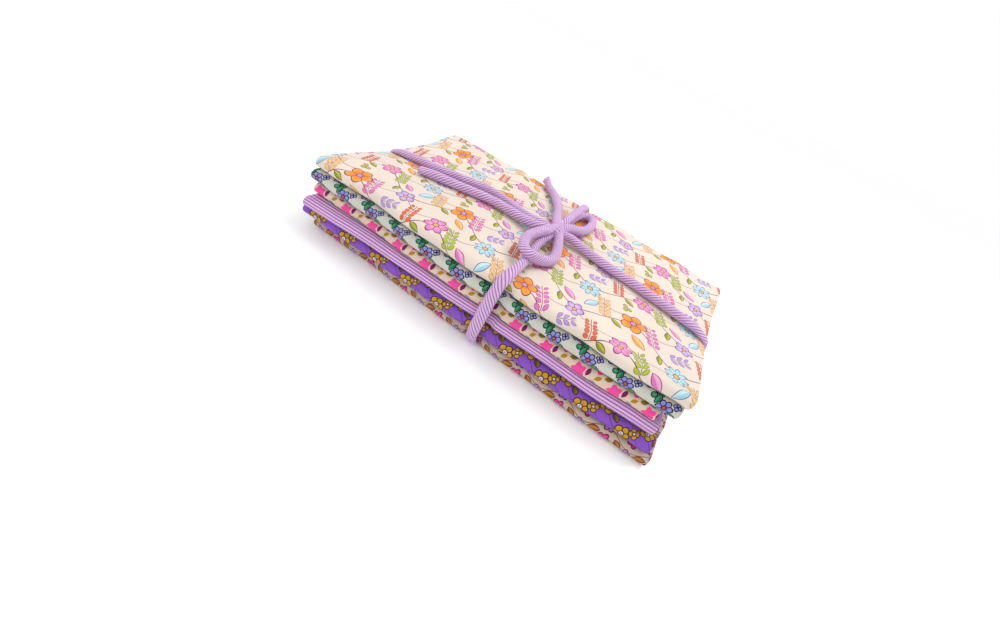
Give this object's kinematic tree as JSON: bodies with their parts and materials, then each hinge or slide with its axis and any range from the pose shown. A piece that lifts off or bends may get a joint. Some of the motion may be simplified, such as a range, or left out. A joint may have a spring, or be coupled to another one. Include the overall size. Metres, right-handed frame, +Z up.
{
  "type": "precut quilt fabric bundle",
  "caption": "Stack of folded printed quilting cottons tied both ways with a soft striped fabric cord that ends in a bow.",
  "frame": {"origin": "under the middle of the stack of cuts, on the surface that it rests on", "axes": "+X along the folded cuts' long side, +Y from the front folds to the back folds, +Z up through the stack"},
  "size_m": [0.3828, 0.2347, 0.0855],
  "materials": {
    "cream_print": "cream quilting cotton with a printed trailing floral",
    "grey_print": "pale grey quilting cotton with small printed lavender flowers",
    "pink_print": "peach cream quilting cotton with printed pink stars and leaves",
    "lilac_stripe": "quilting cotton with fine lilac stripes",
    "violet_print": "violet quilting cotton with printed mustard flowers",
    "taupe_print": "taupe beige quilting cotton with printed leaves and flowers",
    "cord_cloth": "soft cord sewn from lilac striped bias strip"
  },
  "bodies": {
    "root": {"cut_1_cream_floral": "cream_print", "cut_2_pale_grey_floral": "grey_print", "cut_3_pink_star": "pink_print", "cut_4_lilac_stripe": "lilac_stripe", "cut_5_violet_floral": "violet_print", "cut_6_taupe_floral": "taupe_print", "tie_cord": "cord_cloth"}
  },
  "joints": []
}
